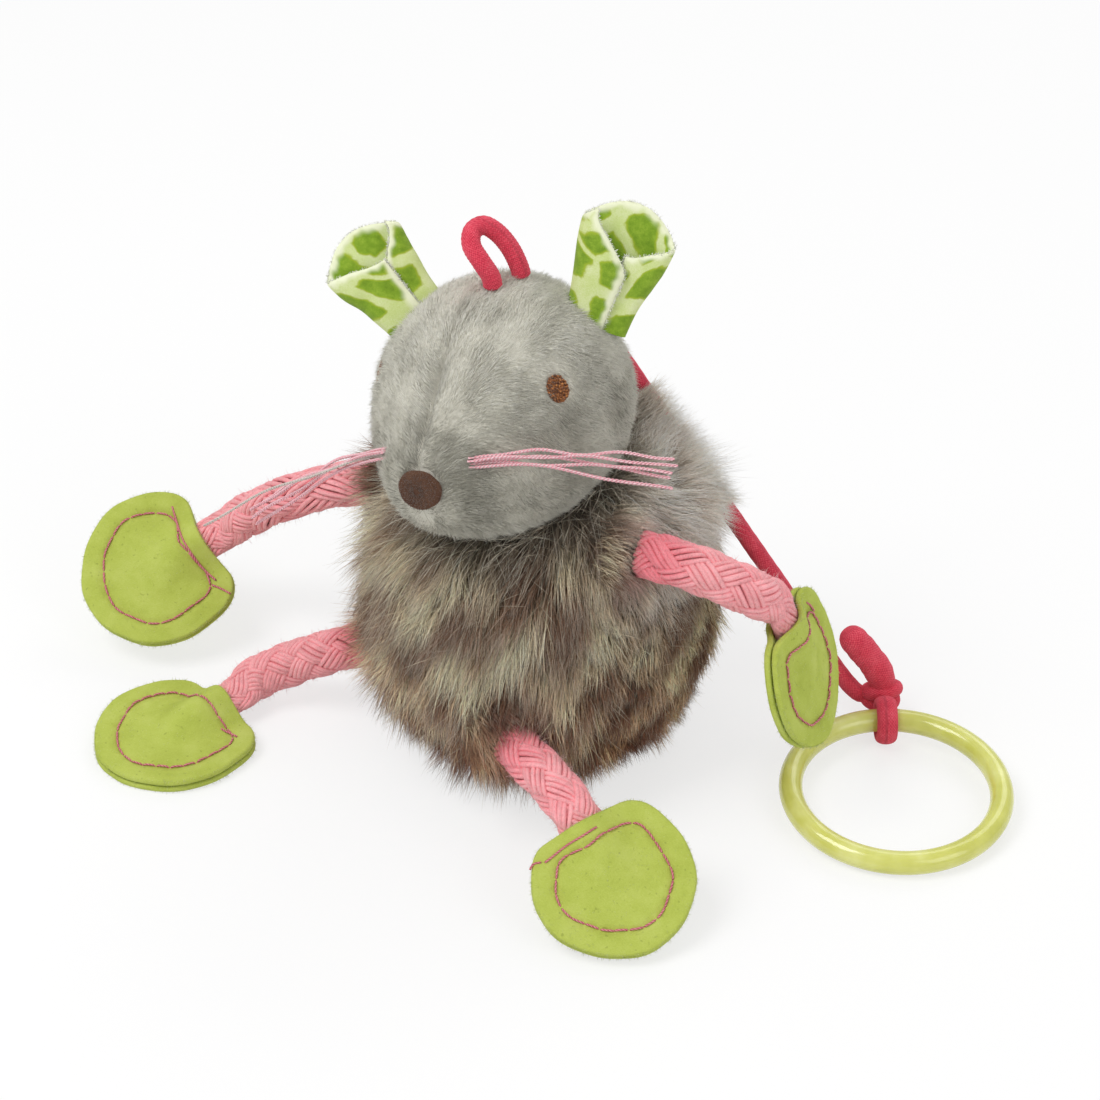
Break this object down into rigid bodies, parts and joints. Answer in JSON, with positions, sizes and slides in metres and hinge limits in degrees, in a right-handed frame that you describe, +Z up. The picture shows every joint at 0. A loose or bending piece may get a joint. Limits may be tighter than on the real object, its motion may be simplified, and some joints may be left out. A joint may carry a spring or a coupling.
{
  "type": "mouse dangler cat toy",
  "caption": "Stuffed mouse dangler with a plush head, furry body, braided limbs ending in felt paws, a hang loop, and a finger ring on an elastic cord.",
  "frame": {"origin": "centre of the small flat under the body, on the body's vertical axis, at floor level", "axes": "+Z up along the body's axis; the mouse faces -Y; +X is the mouse's left, the side of the cord and ring"},
  "size_m": [0.1999, 0.1026, 0.1185],
  "materials": {
    "fur": "long-pile fake fur, brown-grey with pale patches",
    "plush": "short-pile grey plush",
    "filling": "loose fibre filling",
    "brown_felt": "matt felt",
    "brown_thread": "satin embroidery thread",
    "printed_flannel": "brushed cotton with a two-tone green blotch print",
    "green_felt": "matt felt",
    "pink_thread": "plied thread",
    "braid_yarn": "soft braided yarn",
    "elastic_cord": "matt textile sheath on an elastic core",
    "ring_plastic": "glossy moulded"
  },
  "bodies": {
    "body": {"body_cover": "fur", "body_stuffing": "filling"},
    "head": {"head_panel_left": "plush", "head_panel_right": "plush", "head_stuffing": "filling", "nose_patch": "brown_felt", "eye_left": "brown_thread", "eye_right": "brown_thread", "whiskers_left": "pink_thread", "whiskers_right": "pink_thread"},
    "ear_left": {"ear_left": "printed_flannel"},
    "ear_right": {"ear_right": "printed_flannel"},
    "hang_loop": {"hang_loop": "elastic_cord"},
    "arm_left": {"arm_left": "braid_yarn"},
    "arm_left_paw": {"arm_left_paw_top": "green_felt", "arm_left_paw_back": "green_felt", "arm_left_paw_stitching": "pink_thread"},
    "arm_right": {"arm_right": "braid_yarn"},
    "arm_right_paw": {"arm_right_paw_top": "green_felt", "arm_right_paw_back": "green_felt", "arm_right_paw_stitching": "pink_thread"},
    "leg_left": {"leg_left": "braid_yarn"},
    "leg_left_paw": {"leg_left_paw_top": "green_felt", "leg_left_paw_back": "green_felt", "leg_left_paw_stitching": "pink_thread"},
    "leg_right": {"leg_right": "braid_yarn"},
    "leg_right_paw": {"leg_right_paw_top": "green_felt", "leg_right_paw_back": "green_felt", "leg_right_paw_stitching": "pink_thread"},
    "elastic": {"elastic_main": "elastic_cord", "elastic_tail": "elastic_cord", "elastic_knot": "elastic_cord"},
    "ring_loop": {"ring_loop": "elastic_cord"},
    "finger_ring": {"finger_ring": "ring_plastic"}
  },
  "joints": [
    {"name": "head_turn", "type": "hinge", "parent": "body", "child": "head", "pos_m": [0, 0, 0.07], "axis": [0, 0, 1], "range_deg": [-10, 10]},
    {"name": "ear_left_fold", "type": "hinge", "parent": "head", "child": "ear_left", "pos_m": [0.00969, 0.00069, 0.09641], "axis": [0.9276, 0.217, -0.3042], "range_deg": [-20, 20]},
    {"name": "ear_right_fold", "type": "hinge", "parent": "head", "child": "ear_right", "pos_m": [-0.02497, -0.00591, 0.09192], "axis": [0.5217, 0.6586, 0.5424], "range_deg": [-20, 20]},
    {"name": "hang_loop_flop", "type": "hinge", "parent": "head", "child": "hang_loop", "pos_m": [-0.00655, -0.00484, 0.10491], "axis": [0.3673, 0.9287, -0.0521], "range_deg": [-20, 20]},
    {"name": "arm_left_lift", "type": "hinge", "parent": "body", "child": "arm_left", "pos_m": [0.0261, -0.0149, 0.0574], "axis": [0.4197, -0.9076, 0], "range_deg": [-6, 35]},
    {"name": "arm_left_paw_flap", "type": "hinge", "parent": "arm_left", "child": "arm_left_paw", "pos_m": [0.0514, -0.0032, 0.0412], "axis": [0.1082, -0.9917, -0.0698], "range_deg": [-10, 12]},
    {"name": "arm_right_lift", "type": "hinge", "parent": "body", "child": "arm_right", "pos_m": [-0.0344, -0.0016, 0.0486], "axis": [0.0394, 0.9992, 0], "range_deg": [-4, 35]},
    {"name": "arm_right_paw_flap", "type": "hinge", "parent": "arm_right", "child": "arm_right_paw", "pos_m": [-0.08, 0.0002, 0.0201], "axis": [-0.7616, 0.4338, 0.4815], "range_deg": [-8, 15]},
    {"name": "leg_left_lift", "type": "hinge", "parent": "body", "child": "leg_left", "pos_m": [0.0088, -0.0347, 0.021], "axis": [-0.5065, -0.8623, 0], "range_deg": [0, 30]},
    {"name": "leg_left_paw_flap", "type": "hinge", "parent": "leg_left", "child": "leg_left_paw", "pos_m": [0.0294, -0.0468, 0.0156], "axis": [-0.6074, -0.748, -0.2676], "range_deg": [0, 15]},
    {"name": "leg_right_lift", "type": "hinge", "parent": "body", "child": "leg_right", "pos_m": [-0.0327, -0.0121, 0.0173], "axis": [-0.5341, 0.8454, 0], "range_deg": [0, 35]},
    {"name": "leg_right_paw_flap", "type": "hinge", "parent": "leg_right", "child": "leg_right_paw", "pos_m": [-0.0604, -0.0296, 0.0042], "axis": [-0.9071, 0.4208, 0.0084], "range_deg": [0, 15]},
    {"name": "elastic_swing", "type": "hinge", "parent": "head", "child": "elastic", "pos_m": [0.0056, 0.0157, 0.0823], "axis": [0.2417, -0.9703, 0], "range_deg": [0, 60]},
    {"name": "ring_swing", "type": "hinge", "parent": "elastic", "child": "ring_loop", "pos_m": [0.06471, 0.02195, 0.00495], "axis": [0.9, 0.436, 0], "range_deg": [-12, 45]},
    {"name": "ring_spin", "type": "hinge", "parent": "ring_loop", "child": "finger_ring", "pos_m": [0.0737, 0.0034, 0.00365], "axis": [0.0274, -0.0567, 0.998], "continuous": true}
  ]
}
